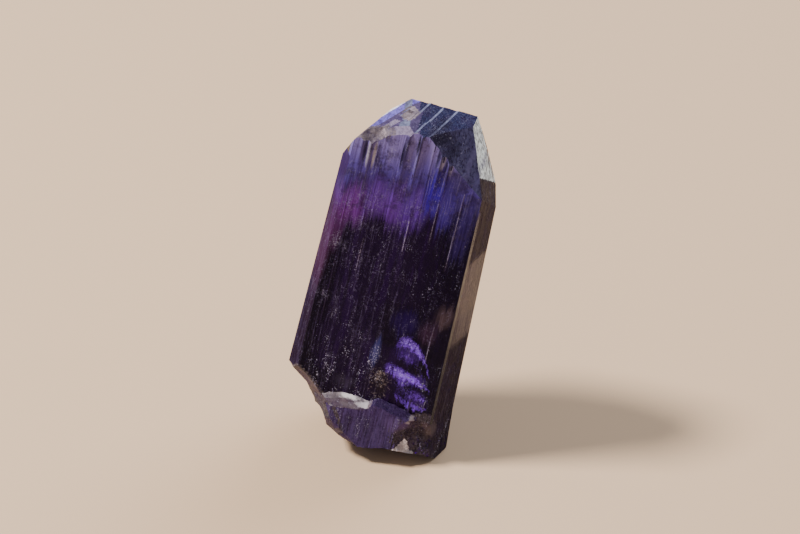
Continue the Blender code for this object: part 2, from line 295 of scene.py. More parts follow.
def rib_depth(rng, distance, level, width, ribs, coarse):
    """Depth cut by one family of striations at each place of a face.

    Each rib is a skewed V: full depth on its line, nothing half a width away on its gentle
    side and a quarter of that away on its steep side.  Its line leans a little, and the rib
    fades in and out at its two ends.  The deepest of the ribs at a place counts there.
    """
    count = max(2, round(width / (ribs["spacing"] * coarse)))
    line = rng.uniform(0.0, width, count)
    depth = rng.uniform(*ribs["depth"], count) * rng.uniform(0.3, 1.0, count) * coarse
    half = rng.uniform(*ribs["half"], count) * coarse
    length = rng.uniform(*ribs["length"], count)
    middle = rng.uniform(*RIB_MIDDLES, count)
    lean = rng.normal(0.0, RIB_LEAN, count)
    side = rng.choice((-1.0, 1.0), count)
    off = (distance[None, :, None] - line - lean * level[:, None, None]) * side
    shape = 1.0 - np.where(off > 0.0, off, -4.0 * off) / half
    reach = np.abs(level[:, None] - middle) - length / 2
    window = 1.0 - fade(reach, -2.0, 0.0)
    return (np.clip(shape, 0.0, 1.0) * depth * window[:, None, :]).max(axis=2)


def groove_depth(across, along):
    """Depth of the grooves under the tip: a bell across each, deeper towards the tip."""
    cut = np.zeros(np.broadcast_shapes(across.shape, along.shape))
    for place, depth, half in TIP_GROOVES:
        off = (across - place - GROOVE_LEAN * along) / half
        cut += depth * np.exp(-off ** 2) * fade(along, *GROOVE_FADE)
    return cut


def score_depth(across, along):
    """Depth of the long single scores: a narrow V across each, with both ends faded out."""
    cut = np.zeros(np.broadcast_shapes(across.shape, along.shape))
    for place, start, end in SCORES:
        near = np.clip(1.0 - np.abs(across - place) / SCORE_HALF, 0.0, 1.0)
        reach = fade(along, start - SCORE_FADE, start) * (1.0 - fade(along, end, end + SCORE_FADE))
        cut += SCORE_DEPTH * near * reach
    return cut


def make_prism():
    """The striated prism, longer than the crystal at both ends.

    Every ring goes round the cross-section, corner to corner, and each point is moved
    inward by the depth of the striations there.
    """
    rng = np.random.default_rng(RIB_SEED)
    level = np.linspace(PRISM_FROM, PRISM_TO, PRISM_LEVELS)
    corners = prism_corners(level)
    middle = prism_corners(np.zeros(1))[0]
    strips = []
    for index, (spacing, coarse) in enumerate(FACE_GRAIN):
        start = corners[:, index]
        run = corners[:, (index + 1) % len(PRISM_EDGES)] - start
        width = np.linalg.norm(middle[(index + 1) % len(middle)] - middle[index])
        count = round(width / spacing)
        share = np.arange(count) / count
        cut = rib_depth(rng, share * width, level, width, FINE_RIBS, coarse)
        cut += rib_depth(rng, share * width, level, width, BROAD_RIBS, coarse)
        points = start[:, None] + share[None, :, None] * run[:, None]
        if index == len(PRISM_EDGES) - 1:
            cut += groove_depth(points[..., 0], level[:, None])
            cut += score_depth(points[..., 0], level[:, None])
        cut = cut * fade(share * width, 0.0, EDGE_FADE) * fade((1.0 - share) * width, 0.0, EDGE_FADE)
        rise = np.broadcast_to(level[:, None, None], (*cut.shape, 1))
        stretched = np.concatenate((points * 4.0, rise * 0.8), axis=-1)
        cut += PRISM_GRAIN * grain(stretched, 1.0) * (share > 0)
        inward = np.stack((-run[:, 1], run[:, 0]), axis=-1)
        inward = inward / np.linalg.norm(inward, axis=-1, keepdims=True)
        points = points + cut[..., None] * inward[:, None]
        strips.append(np.concatenate((points, rise), axis=-1))
    return tube("tanzanite", np.concatenate(strips, axis=1), cutter=False)


def plane_through(a, b, c):
    """A point of the plane and its normal, turned away from the crystal's middle."""
    a, b, c = (np.array(point, float) for point in (a, b, c))
    normal = unit(np.cross(b - a, c - a))
    return a, normal if normal.dot(a) > 0 else -normal


FACET_FINE = 8.0
FACET_REACH = 18.0
FACET_SPACING = 0.11


def facet_cutter(name, point, normal, run, height):
    """A block whose underside is one face of the tip, pressed onto the crystal from outside.

    The underside is a grid over the face: a runs along run, b across it, and height(a, b)
    is how far the face stands out there.
    """
    normal = unit(normal)
    run = unit(np.asarray(run, float) - np.dot(run, normal) * normal)
    side = np.cross(normal, run)
    fine = np.arange(-FACET_FINE, FACET_FINE + FACET_SPACING / 2, FACET_SPACING)
    ticks = np.concatenate(((-FACET_REACH,), fine, (FACET_REACH,)))
    count = len(ticks)
    a, b = np.meshgrid(ticks, ticks, indexing="ij")
    under = np.asarray(point) + a[..., None] * run + b[..., None] * side
    under = under + height(a, b)[..., None] * normal
    grid = np.arange(count * count).reshape(count, count)
    quads = np.stack((grid[:-1, :-1], grid[:-1, 1:], grid[1:, 1:], grid[1:, :-1]), axis=-1)
    rim = np.concatenate((grid[:-1, 0], grid[-1, :-1], grid[:0:-1, -1], grid[0, :0:-1]))
    top = count * count + np.arange(len(rim))
    walls = np.stack((rim, np.roll(rim, -1), np.roll(top, -1), top), axis=-1)
    points = under.reshape(-1, 3)
    points = np.vstack((points, points[rim] + normal * FACET_REACH))
    faces = quads.reshape(-1, 4).tolist() + walls.tolist() + [top.tolist()]
    return put_mesh(name, points, faces, cutter=True)


def plain_face(roughness, size=1.0):
    """Height of a nearly flat face: grain of that size."""
    def height(a, b):
        return roughness * rough(np.stack((a, b, 0 * a), axis=-1), size)
    return height


def striated_face(depth, pitch):
    """Height of an etched face: grain drawn out along a, so that it makes furrows."""
    def height(a, b):
        return -depth * np.abs(rough(np.stack((a * 0.06, b, 0 * a), axis=-1), pitch))
    return height


def stepped_face(places, step, roughness):
    """Height of a face with growth steps: each tread sinks slowly towards the next riser,
    which climbs back over a short slope.  The risers wander a little."""
    stops = [-FACET_REACH]
    heights = [0.0]
    for place in places:
        stops += [place, place + STEP_SLOPE]
        heights += [-step, 0.0]

    def height(a, b):
        wander = STEP_WANDER * grain(np.stack((0 * a, b, 0 * a), axis=-1), 0.9)
        bed = roughness * rough(np.stack((a, b, 0 * a), axis=-1), 0.8)
        return np.interp(a + wander, stops + [FACET_REACH], heights + [0.0]) + bed
    return height


def tip_faces():
    """Each face of the tip: a point, its normal, the direction of its steps or furrows, its relief."""
    rise = unit(np.subtract(TIP_MIDDLE, TIP_LEFT))
    upward = np.array((-rise[2], 0.0, rise[0]))
    bevel = upward * cos(BEVEL_SLOPE) + np.array((0.0, -sin(BEVEL_SLOPE), 0.0))
    up = (0.0, 0.0, 1.0)
    crest_point, crest_normal = plane_through(TIP_TOP, CREST_LEFT, CREST_MIDDLE)
    sides = {f"tip_side_face_{i}": (*plane_through(*SIDE_FACE_EDGE[i:i + 2], TIP_RIGHT), up,
                                    striated_face(0.04, 0.30)) for i in range(3)}
    lefts = {f"tip_left_bevel_{i}": (*plane_through(*LEFT_BEVEL_EDGE[i:i + 2], LEFT_BEVEL_LOW), up,
                                     plain_face(0.01)) for i in range(2)}
    return {
        "tip_bevel": (np.array(TIP_MIDDLE), bevel, rise, plain_face(0.012)),
        "tip_dark_face": (*plane_through(DARK_FACE_LEFT, TIP_RIGHT, DARK_FACE_BACK), up,
                          plain_face(0.012, 1.6)),
        **sides,
        **lefts,
        "tip_left_corner": (np.array(LEFT_CORNER), LEFT_CORNER_NORMAL, up, plain_face(0.01)),
        "tip_back_face": (np.array(CREST_RIGHT), BACK_FACE_NORMAL, up, striated_face(0.05, 0.6)),
        "tip_back_corner": (np.array(BACK_CORNER), BACK_CORNER_NORMAL, up, plain_face(0.015)),
        "tip_crest": (crest_point, crest_normal, np.cross(CREST_RUN, crest_normal),
                      stepped_face(CREST_STEPS, CREST_STEP_HEIGHT, 0.006)),
        "tip_left_face": (CREST_LEFT, LEFT_FACE_NORMAL, np.cross(LEFT_FACE_RUN, LEFT_FACE_NORMAL),
                          stepped_face(LEFT_STEPS, LEFT_STEP_HEIGHT, 0.006)),
    }


def facet_height(ways, pole, near, width):
    """How far the flat facets of a broken ball stand out, in shares of its radius.

    Facets that wide touch the ball in random directions round the pole; the nearest one
    counts at each place.
    """
    rng = np.random.default_rng(FACET_SEED)
    count = round(1.5 * 2.0 * pi * (1.0 - cos(near)) / width ** 2)
    high = rng.uniform(cos(near), 1.0, count)
    turn = rng.uniform(0.0, 2.0 * pi, count)
    side = unit(np.cross(pole, ASIDE))
    flat = np.sqrt(1.0 - high ** 2)
    touch = (flat * np.cos(turn))[:, None] * side + (flat * np.sin(turn))[:, None] * np.cross(pole, side)
    touch += high[:, None] * pole
    nearest = (ways.reshape(-1, 3) @ touch.T).max(axis=1).reshape(ways.shape[:-1])
    return np.minimum(1.0 / np.maximum(nearest, 0.9), 1.0 + 0.5 * width) - 1.0


def make_break_cutter(name, middle, radius, blow, ripple, hackle, facet):
    """A ball whose near side is the hollow that a shell-shaped break leaves.

    Rings of points lie round the direction towards the crystal, closely as far as the break
    reaches and widely behind.  Height over the ball is a wave of the distance from where the
    blow fell, with shorter ripples on it, rays that run away from the blow, and grain.
    """
    middle = np.array(middle)
    aim = np.array((0.0, 0.0, np.clip(middle[2], *BREAK_FACES)))
    pole = unit(aim - middle)
    side = unit(np.cross(pole, ASIDE))
    near = min(BREAK_REACH / radius, 0.55 * pi)
    rings = np.concatenate((np.linspace(0.0, near, round(near * radius / BREAK_SPACING) + 1)[1:],
                            np.linspace(near, pi, 7)[1:-1]))
    sides = max(40, round(2.0 * pi * radius * sin(min(near, pi / 2)) / (1.6 * BREAK_SPACING)))
    ring, turn = np.meshgrid(rings, np.linspace(0.0, 2.0 * pi, sides, endpoint=False), indexing="ij")
    around = np.cos(turn)[..., None] * side + np.sin(turn)[..., None] * np.cross(pole, side)
    ways = np.sin(ring)[..., None] * around + np.cos(ring)[..., None] * pole

    blow = unit(blow)
    blow_side = unit(np.cross(blow, ASIDE))
    from_blow = np.arccos(np.clip(ways @ blow, -1.0, 1.0))
    round_blow = np.arctan2(ways @ np.cross(blow, blow_side), ways @ blow_side)
    arc = from_blow * radius
    spread = np.sin(from_blow)
    height = ripple * np.sin(2.1 * arc) * spread
    height += 0.8 * ripple * np.sin(5.0 * round_blow + 3.0 * from_blow) * spread
    height += 0.22 * ripple * np.sin(9.0 * arc + 1.5 * np.sin(3.0 * round_blow)) * spread
    height += 0.25 * hackle * np.abs(np.sin(23.0 * round_blow + 0.6 * arc)) * spread
    height += hackle * rough(ways * radius, 0.7)
    if facet:
        height += facet_height(ways, pole, near, facet / radius) * radius
    points = middle + ways * (radius + height)[..., None]
    first = middle + pole * (radius + height[0].mean())
    return pointed_tube(name, points, first, middle - pole * radius)


def divided(outline, parts):
    """The outline with every edge divided into that many parts."""
    start = np.array(outline)
    run = np.roll(start, -1, axis=0) - start
    share = np.arange(parts) / parts
    return (start[:, None] + share[None, :, None] * run[:, None]).reshape(-1, 2)


def make_block():
    """The block of an earlier growth layer.

    Its outline is carried from the front outline to the back one, and each point is moved
    towards or away from the middle of the outline by grain, which roughens the ledge.
    """
    front, back = (divided(outline, BLOCK_PARTS)
                   for outline in (BLOCK_FRONT_OUTLINE, BLOCK_BACK_OUTLINE))
    deep = np.linspace(BLOCK_FRONT, BLOCK_BACK, BLOCK_ROWS)
    share = (deep - deep[0]) / (deep[-1] - deep[0])
    outline = front + share[:, None, None] * (back - front)
    points = np.stack((outline[..., 0], np.broadcast_to(deep[:, None], outline.shape[:2]),
                       outline[..., 1]), axis=-1)
    out = points - BLOCK_MIDDLE
    out[..., 1] = 0.0
    out = out / np.linalg.norm(out, axis=-1, keepdims=True)
    uneven = 0.08 * rough(points, 0.9) + 0.03 * rough(points, 0.3)
    points = points + out * (uneven * fade(share, 0.0, 0.12)[:, None])[..., None]
    return tube("earlier_growth_block", points)


def block_face_cutter():
    """Presses fine striations into the front of the block."""
    return facet_cutter("block_face", (2.0, BLOCK_FRONT + 0.03, -13.5), (0.0, -1.0, 0.0),
                        (0.0, 0.0, 1.0), striated_face(0.05, 0.28))


EGG_RINGS = 4
EGG_SIDES = 7


def put_eggs(name, middle, radius, rng):
    """Many small closed eggs in one mesh: a ball of a few rings for each middle, stretched by
    its three radii across, deep and along, and made uneven."""
    ring, turn = np.meshgrid(np.linspace(0.0, pi, EGG_RINGS + 2)[1:-1],
                             np.linspace(0.0, 2.0 * pi, EGG_SIDES, endpoint=False), indexing="ij")
    egg = np.stack((np.sin(ring) * np.cos(turn), np.sin(ring) * np.sin(turn), np.cos(ring)), axis=-1)
    egg = np.vstack((egg.reshape(-1, 3), (0.0, 0.0, 1.0), (0.0, 0.0, -1.0)))
    uneven = rng.uniform(0.8, 1.2, (len(middle), len(egg), 1))
    points = middle[:, None] + egg * uneven * radius[:, None]
    here = np.arange(EGG_SIDES)
    after = (here + 1) % EGG_SIDES
    top = EGG_RINGS * EGG_SIDES
    end = top - EGG_SIDES
    fans = np.vstack((np.stack((after, here, np.full(EGG_SIDES, top)), axis=1),
                      np.stack((end + here, end + after, np.full(EGG_SIDES, top + 1)), axis=1)))
    offsets = len(egg) * np.arange(len(middle))[:, None, None]
    quads = (np.array(ring_quads(EGG_RINGS, EGG_SIDES))[None] + offsets).reshape(-1, 4)
    fans = (fans[None] + offsets).reshape(-1, 3)
    return put_mesh(name, points.reshape(-1, 3), quads.tolist() + fans.tolist(), cutter=True)


PIT_COUNTS = (14, 30)
PIT_CORNER = (-5.9, -9.2)
PIT_SPAN = (12.0, 24.0)
PIT_RADIUS = (0.10, 0.10, 0.19)
PIT_SEED = 23


def make_pits():
    """Etch pits in the front face: small egg-shaped hollows, longer along the crystal.

    One egg at a random place in each cell of a net over the face, so that no two touch.
    Fewer cells hold one towards the tip.
    """
    rng = np.random.default_rng(PIT_SEED)
    columns, rows = PIT_COUNTS
    place = np.stack(np.meshgrid(np.arange(columns), np.arange(rows), indexing="ij"), axis=-1)
    place = (place + rng.uniform(0.25, 0.75, place.shape)).reshape(-1, 2) / (columns, rows)
    size = rng.uniform(0.4, 1.0, len(place)) ** 2
    across, along = (PIT_CORNER + PIT_SPAN * place).T
    keep = rng.uniform(0.0, 1.0, len(place)) < 0.6 - 0.45 * fade(along, -6.0, 8.0)
    middle = np.stack((across, np.full(len(place), FRONT - 0.03), along), axis=-1)[keep]
    return put_eggs("etch_pits", middle, np.outer(size[keep], PIT_RADIUS), rng)


REST_HALF = 0.04
REST_FALL = 0.08


def rest_cutter():
    """Everything below the plane that the crystal rests on, in world metres."""
    obj = put_mesh("rest_plane", np.zeros((1, 3)), [], cutter=True)
    square = ((-1.0, -1.0), (1.0, -1.0), (1.0, 1.0), (-1.0, 1.0))
    corners = [(x * REST_HALF, y * REST_HALF, z) for z in (-REST_FALL, 0.0) for x, y in square]
    obj.data.clear_geometry()
    faces = [(3, 2, 1, 0), (4, 5, 6, 7), (0, 1, 5, 4), (1, 2, 6, 5), (2, 3, 7, 6), (3, 0, 4, 7)]
    obj.data.from_pydata(corners, [], faces)
    return obj


def make_crystal():
    """The prism with its tip cut, its block joined on, its base broken away and its pits."""
    body = make_prism()
    cutters = [make_break_cutter(name, *facts) for name, facts in RIM_BREAKS.items()]
    for cutter in cutters:
        combine(body, cutter)
    block = make_block()
    combine(body, block, "UNION")
    joined = len(cutters)
    cutters.append(block_face_cutter())
    for name, face in tip_faces().items():
        cutters.append(facet_cutter(name, *face))
    for name, facts in BREAKS.items():
        cutters.append(make_break_cutter(name, *facts))
    cutters.append(make_pits())
    cutters.append(rest_cutter())
    for cutter in cutters[joined:]:
        combine(body, cutter)
    graph = bpy.context.evaluated_depsgraph_get()
    mesh = bpy.data.meshes.new_from_object(body.evaluated_get(graph))
    body.modifiers.clear()
    body.data = mesh
    for cutter in [block, *cutters]:
        bpy.data.objects.remove(cutter)
    return body


def face_places(mesh):
    """Middle and normal of every face, in crystal millimetres."""
    count = len(mesh.polygons)
    middle, normal = np.empty(count * 3, np.float32), np.empty(count * 3, np.float32)
    mesh.polygons.foreach_get("center", middle)
    mesh.polygons.foreach_get("normal", normal)
    return to_crystal(middle.reshape(-1, 3)), normal.reshape(-1, 3) @ AXES


# The finish of each kind of face: share of frost, its colour, and how far the frost lies in
# furrows along the face (1) or in crumbs (0).
FINISHES = {
    "sides": (0.30, (0.10, 0.080, 0.075), 1.0),
    "left_bevel": (0.92, (0.028, 0.010, 0.038), 1.0),
    "tip_dark_face": (0.78, (0.068, 0.064, 0.145), 0.8),
    # The tip's side face: near white, painted light from a sky reflection and light let through, on an
    # etched face.
    "tip_side_face": (1.00, (0.86, 0.96, 1.00), 1.0),
    # The tip's left bevel: pale blue, a painted reflection.
    "tip_left_bevel": (0.90, (0.66, 0.66, 0.98), 0.5),
    "tip_left_corner": (0.70, (0.09, 0.08, 0.18), 0.5),
    "tip_back_face": (0.30, (0.20, 0.20, 0.32), 1.0),
    "tip_back_corner": (0.25, (0.20, 0.20, 0.32), 0.5),
    "tip_crest": (0.82, (0.021, 0.023, 0.066), 1.0),
    "tip_left_face": (0.85, (0.080, 0.060, 0.140), 0.4),
    "riser": (0.80, (0.15, 0.165, 0.28), 0.0),
    "tip_bevel": (0.85, (0.225, 0.185, 0.290), 0.0),
    "broken": (0.75, (0.105, 0.088, 0.085), 0.0),
    "block": (0.84, (0.072, 0.048, 0.145), 0.45),
    "ledge": (0.92, (0.30, 0.265, 0.30), 0.0),
    "chip": (0.95, (0.66, 0.62, 0.68), 0.0),
    "tip_chip": (0.85, (0.17, 0.14, 0.165), 0.0),
}


# Where along the crystal the foot's faces end and the tip's begin.
FOOT_TO = -9.0
TIP_FROM = 8.0
TIP_CHIPS_FROM = 12.0
LEFT_BEVEL_TO = 14.0
FACE_WITHIN = 0.35

# Hues and shades of parts of those faces, among them painted reflections and painted shade.
# The tip's side face: where its painted sky reflection gives way to a painted reflection of darker
# ground below, and that reflection's hue.
SIDE_FACE_REFLECTION_SPLIT = (14.7, 15.3)
SIDE_FACE_GROUND_REFLECTION = (0.075, 0.060, 0.060)
# Bands of painted reflection on the tip's left face: where each ends, and its hue.
LEFT_FACE_REFLECTION_BANDS = ((0.45, (0.165, 0.135, 0.52)), (-0.15, (0.80, 0.78, 0.98)))
# The right side's front strip: a painted reflection of shade, one of the lit floor, and painted shade on
# its lower part.
STRIP_SHADE_REFLECTION = (0.055, 0.042, 0.042)
STRIP_FLOOR_REFLECTION = (0.145, 0.108, 0.090)
STRIP_LOW_SHADE = (0.60, 0.58, 0.75)
BEVEL_LOW_SHADE = 0.45
CORNER_HUE = (0.078, 0.063, 0.072)
BLOCK_TOP_SHADE = (0.45, 0.37, 0.42)
SPLIT_TONE = 0.9                    # how much the tone of a break's facets varies


def near_plane(middle, point, way):
    return np.abs((middle - np.asarray(point)) @ unit(way)) < FACE_WITHIN


def face_kinds(middle, normal):
    """For each kind of face, which faces are of that kind.  Later kinds win."""
    across, deep, along = middle.T
    outward = (normal * (middle * (1.0, 1.0, 0.0))).sum(axis=1) > 0.0
    kinds = {
        "sides": outward & (np.abs(normal[:, 2]) < 0.5),
        "left_bevel": (normal[:, 0] < -0.55) & (normal[:, 1] < -0.05) & (along < LEFT_BEVEL_TO),
    }
    ways = {}
    for name, (point, way, _, _) in tip_faces().items():
        ways[name] = normal @ unit(way)
        here = near_plane(middle, point, way) & (ways[name] > 0.80) & (along > TIP_FROM)
        kind = name.rstrip("_012")
        kinds[kind] = kinds.get(kind, False) | here
    kinds["riser"] = kinds["tip_crest"] & (ways["tip_crest"] < 0.955)
    kinds["tip_bevel"] = kinds.pop("tip_bevel") & (ways["tip_bevel"] > 0.95)
    broken = np.zeros(len(middle), bool)
    for centre, radius, _, ripple, hackle, facet in [*RIM_BREAKS.values(), *BREAKS.values()]:
        away = middle - np.array(centre)
        distance = np.linalg.norm(away, axis=1)
        near = np.abs(distance - radius) < 2.2 * ripple + 2.0 * hackle + 0.4 * facet + 0.03
        broken |= near & ((normal * away).sum(axis=1) < -0.6 * distance)
    kinds["broken"] = broken
    block = (deep < FRONT - 0.3) & (normal[:, 1] < -0.6)
    foot = along < FOOT_TO
    upper = foot & (deep < FRONT - 0.02) & (normal[:, 2] > 0.0) & (across > 0.9)
    kinds["block"] = (block | upper) & ~broken
    kinds["ledge"] = foot & (deep < FRONT + 0.12) & (normal[:, 2] > 0.25) & (across < 1.2)
    low = along < -14.7 + 1.3 * (across - 4.1)
    kinds["chip"] = low & (across < 6.3) & (deep < FRONT) & (normal[:, 1] < -0.3)
    kinds["tip_chip"] = broken & (along > TIP_CHIPS_FROM)
    return kinds


def face_finish(kinds, middle, normal, plain):
    """Share of frost, hue and furrows for each face: its kind's finish, then the bands, shades
    and tones within single kinds."""
    across, deep, along = middle.T
    finish = np.zeros((len(middle), 5))
    finish[:, 1:4] = 0.3
    for name, chosen in kinds.items():
        share, hue, drawn = FINISHES[name]
        finish[chosen] = (share, *hue, drawn)
    hue = finish[:, 1:4]

    # The tip's side face: painted sky reflection above, painted reflection of darker ground below.
    side = kinds["tip_side_face"]
    bright = fade(along + 0.61 * (deep + 3.5), *SIDE_FACE_REFLECTION_SPLIT)
    finish[side, 0] *= (0.90 + 0.10 * bright)[side]
    hue[side & (bright <= 0.5)] = SIDE_FACE_GROUND_REFLECTION

    # Bands of painted reflection across the tip's left face.
    left = kinds["tip_left_face"] & (hue[:, 2] == FINISHES["tip_left_face"][1][2])
    place = (middle - CREST_LEFT) @ unit(np.cross(LEFT_FACE_RUN, LEFT_FACE_NORMAL))
    for end, band_hue in LEFT_FACE_REFLECTION_BANDS:
        hue[left & (place < end)] = band_hue

    # The right side's front strip: painted reflection of the lit floor in its middle and of shade above
    # and below, with painted shade lower down.
    strip = kinds["sides"] & (across > 4.0) & (deep < 0.2) & plain
    shade_reflected = np.maximum(fade(along, 5.6, 6.6), 1.0 - fade(along, -3.6, -2.2))
    finish[strip, 0] = (0.35 + 0.50 * shade_reflected)[strip]
    hue[strip] = np.where(shade_reflected[strip, None] > 0.5, STRIP_SHADE_REFLECTION, STRIP_FLOOR_REFLECTION)
    hue[strip & (along < 0.0)] *= STRIP_LOW_SHADE

    bevel = kinds["left_bevel"] & plain
    shade = BEVEL_LOW_SHADE + (1.0 - BEVEL_LOW_SHADE) * fade(along, -6.0, 3.0)
    hue[bevel] *= shade[bevel, None]

    beside = (across > 3.5) | ((along < -13.3) & (across > -3.4))
    hue[kinds["broken"] & (along < FOOT_TO) & beside & ~kinds["chip"]] = CORNER_HUE
    hue[kinds["block"] & (normal[:, 2] > 0.3)] *= BLOCK_TOP_SHADE
    split = kinds["broken"] | kinds["tip_chip"] | kinds["chip"] | kinds["ledge"]
    hue[split] *= np.exp(SPLIT_TONE * grain(normal[split] * 3.0, 1.0))[:, None]
    return finish


def mark_faces(body):
    """Writes the finish of each face to the mesh, and where the front face, its grooves and
    its scores are."""
    middle, normal = face_places(body.data)
    across, deep, along = middle.T
    kinds = face_kinds(middle, normal)
    plain = ~np.any([kinds[name] for name in kinds if name not in ("sides", "left_bevel")], axis=0)
    finish = face_finish(kinds, middle, normal, plain)
    bevel = kinds["left_bevel"] & plain
    front = (deep < FRONT + 0.5) & (normal[:, 1] < -0.25) & (along > -11.5) & plain
    marks = {
        "frost": finish[:, 0],
        "drawn": finish[:, 4],
        "front": front | bevel,
        "bevel_side": bevel,
        "groove": np.clip(groove_depth(across, along) / 0.2, 0.0, 1.0) * front,
        "score": np.clip(score_depth(across, along) / SCORE_DEPTH, 0.0, 1.0) * front,
    }
    for name, value in marks.items():
        attribute = body.data.attributes.new(name, "FLOAT", "FACE")
        attribute.data.foreach_set("value", value.astype(np.float32))
    attribute = body.data.attributes.new("hue", "FLOAT_COLOR", "FACE")
    hue = np.column_stack((finish[:, 1:4], np.ones(len(finish))))
    attribute.data.foreach_set("color", hue.astype(np.float32).ravel())


class Signal:
    """A value in a material.  Arithmetic on it adds the Math nodes that work it out."""

    def __init__(self, recipe, socket):
        self.recipe = recipe
        self.socket = socket

    def math(self, operation, *values):
        return Signal(self.recipe, self.recipe.node("ShaderNodeMath", {"operation": operation},
                                                    dict(enumerate(values))).outputs[0])

    def __add__(self, other):
        return self.math("ADD", self, other)

    def __radd__(self, other):
        return self.math("ADD", other, self)

    def __sub__(self, other):
        return self.math("SUBTRACT", self, other)

    def __rsub__(self, other):
        return self.math("SUBTRACT", other, self)

    def __mul__(self, other):
        return self.math("MULTIPLY", self, other)

    def __rmul__(self, other):
        return self.math("MULTIPLY", other, self)

    def __truediv__(self, other):
        return self.math("DIVIDE", self, other)

    def __pow__(self, other):
        return self.math("POWER", self, other)

    def most(self, other):
        return self.math("MAXIMUM", self, other)

    def least(self, other):
        return self.math("MINIMUM", self, other)

    def size(self):
        return self.math("ABSOLUTE", self)

    def rise(self, start, end):
        """0 at start, 1 at end, smooth between.  It falls where end is below start."""
        node = self.recipe.node("ShaderNodeMapRange", {"interpolation_type": "SMOOTHSTEP"},
                                {0: self, 1: start, 2: end})
        return Signal(self.recipe, node.outputs[0])


class Recipe:
    """A material being built."""

    def __init__(self, name):
        self.material = bpy.data.materials.new(name)
        self.material.use_nodes = True
        self.tree = self.material.node_tree
        self.tree.nodes.clear()
        self.output = self.node("ShaderNodeOutputMaterial", {}, {})

    def node(self, kind, settings, values):
        """Adds a node: its settings first, then values or links for its sockets."""
        node = self.tree.nodes.new(kind)
        for name, setting in settings.items():
            setattr(node, name, setting)
        for key, value in values.items():
            if isinstance(value, Signal):
                self.tree.links.new(value.socket, node.inputs[key])
            elif isinstance(value, bpy.types.NodeSocket):
                self.tree.links.new(value, node.inputs[key])
            else:
                node.inputs[key].default_value = value
        return node

    def object_place(self):
        return self.node("ShaderNodeTexCoord", {}, {}).outputs["Object"]

    def crystal_place(self):
        """Across, deep and along in millimetres, from the object coordinates."""
        away = self.node("ShaderNodeVectorMath", {"operation": "SUBTRACT"},
                         {0: self.object_place(), 1: tuple(PLACE * MM)}).outputs[0]
        return [Signal(self, self.node("ShaderNodeVectorMath", {"operation": "DOT_PRODUCT"},
                                       {0: away, 1: tuple(AXES[:, i] / MM)}).outputs["Value"])
                for i in range(3)]

    def place(self, across, deep, along):
        return self.node("ShaderNodeCombineXYZ", {}, {0: across, 1: deep, 2: along}).outputs[0]

    def noise(self, place, scale, detail, roughness):
        node = self.node("ShaderNodeTexNoise", {"noise_dimensions": "3D"},
                         {"Vector": place, "Scale": scale, "Detail": detail, "Roughness": roughness})
        return Signal(self, node.outputs["Fac"])

    def attribute(self, name):
        node = self.node("ShaderNodeAttribute", {"attribute_name": name}, {})
        return Signal(self, node.outputs["Fac"])

    def attribute_colour(self, name):
        return self.node("ShaderNodeAttribute", {"attribute_name": name}, {}).outputs["Color"]

    def blend(self, factor, first, second):
        """first where factor is 0, second where it is 1, as colours."""
        node = self.node("ShaderNodeMix", {"data_type": "RGBA"}, {0: factor, 6: first, 7: second})
        return node.outputs[2]

    def shader(self, values):
        return self.node("ShaderNodeBsdfPrincipled", {}, values).outputs[0]


class Coat:
    """The matt layer while it is built up: its colour, and its share of the surface."""

    def __init__(self, recipe, hue, share):
        self.recipe = recipe
        self.hue = hue
        self.share = share

    def tint(self, factor, hue):
        """Turns the colour towards hue, by factor."""
        self.hue = self.recipe.blend(factor, self.hue, hue)

    def lay(self, share, hue, strength=1.0):
        """Turns the colour towards hue by strength times share, and covers at least share."""
        self.tint(share * strength, hue)
        self.share = self.share.most(share)


def colour(red, green, blue):
    return (red, green, blue, 1.0)


# Colours of the crystal where light passes through it.
# The front face's clear tint: the crystal's deep colour, with painted shade of its shadowed back seen
# through it.
BODY_DARK_AND_SHADE = colour(0.0016, 0.0009, 0.0034)
BODY_STREAK = colour(0.008, 0.003, 0.022)
BODY_CLEAR = colour(0.20, 0.13, 0.34)

# Painted glows under the front face, where light let through the crystal is painted as colour: across,
# along, half width, half length, colour and strength.
PAINTED_GLOWS = (
    (-4.9, 9.3, 2.2, 2.9, colour(0.120, 0.026, 0.230), 0.95),
    (-6.4, 3.9, 0.9, 5.5, colour(0.080, 0.026, 0.080), 0.75),
    (-5.6, 6.4, 0.9, 3.0, colour(0.090, 0.024, 0.120), 0.75),
    (-2.6, 10.8, 1.8, 2.8, colour(0.095, 0.030, 0.260), 0.90),
    (-1.1, 10.3, 1.5, 3.1, colour(0.110, 0.034, 0.300), 0.90),
    (0.7, 10.5, 1.5, 3.1, colour(0.085, 0.026, 0.280), 0.90),
    (2.1, 13.0, 1.30, 3.2, colour(0.026, 0.004, 0.260), 1.00),
    (3.5, 11.8, 1.0, 3.2, colour(0.040, 0.020, 0.200), 0.90),
    (5.2, 9.6, 1.1, 3.9, colour(0.030, 0.018, 0.110), 0.85),
    (5.0, 1.5, 1.3, 3.6, colour(0.016, 0.009, 0.028), 0.50),
    (2.3, -1.2, 1.7, 1.9, colour(0.026, 0.010, 0.110), 0.65),
    (5.6, 0.5, 0.9, 1.7, colour(0.088, 0.060, 0.072), 0.75),
    (4.6, -1.5, 1.1, 1.8, colour(0.070, 0.034, 0.080), 0.60),
    (0.42, -5.1, 0.50, 2.2, colour(0.042, 0.042, 0.170), 0.90),
    (5.0, -9.2, 1.4, 1.5, colour(0.070, 0.020, 0.230), 0.60),
    (-1.8, -9.3, 1.4, 1.0, colour(0.100, 0.086, 0.140), 0.45),
    (3.5, -4.2, 1.5, 1.3, colour(0.060, 0.020, 0.210), 0.75),
    (3.9, -7.0, 2.1, 0.9, colour(0.070, 0.022, 0.260), 0.80),
    (1.5, -8.4, 1.3, 1.8, colour(0.030, 0.022, 0.026), 0.70),
)
